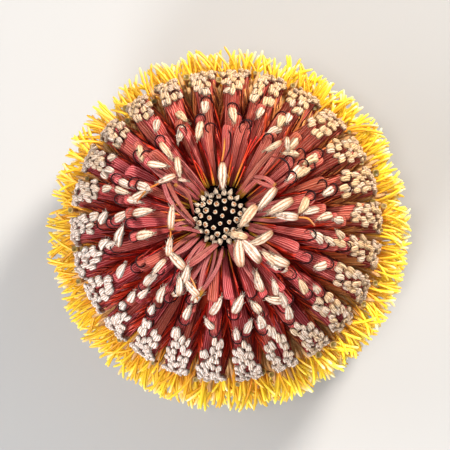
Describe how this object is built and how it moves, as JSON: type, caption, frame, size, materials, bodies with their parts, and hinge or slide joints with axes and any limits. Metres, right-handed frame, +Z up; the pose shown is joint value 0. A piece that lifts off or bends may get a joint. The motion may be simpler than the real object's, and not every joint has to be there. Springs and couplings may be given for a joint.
{
  "type": "banksia flower cone",
  "caption": "Domed banksia flower cone on a short cut stalk: red perianths with cream limbs in rows above, long yellow styles standing out below.",
  "frame": {"origin": "middle of the cut face of the stalk, which is the plane that the cone stands on", "axes": "+Z up along the woody axis, from the cut face to the tip; +X and +Y are alike, and +X runs through a row of flowers"},
  "size_m": [0.0805, 0.0804, 0.0694],
  "materials": {
    "woody_axis": "rough bark, brown, with a paler cut face",
    "tip_wool": "black-brown velvet between the bracts of the tip",
    "bract_tuft": "short cream hairs in rings round an orange point",
    "red_perianth": "dusty rose-red, finely ribbed lengthwise, silky",
    "cream_limb": "cream, ribbed and downy, brown in the grooves",
    "dark_style": "near-black maroon, smooth, slightly waxy",
    "yellow_style": "golden yellow, smooth, orange towards the root",
    "spent_perianth": "dull pink-brown, downy, split and curled"
  },
  "bodies": {
    "root": {"spike_axis": "woody_axis", "closed_flowers": "red_perianth", "open_flowers": "yellow_style"}
  },
  "joints": []
}
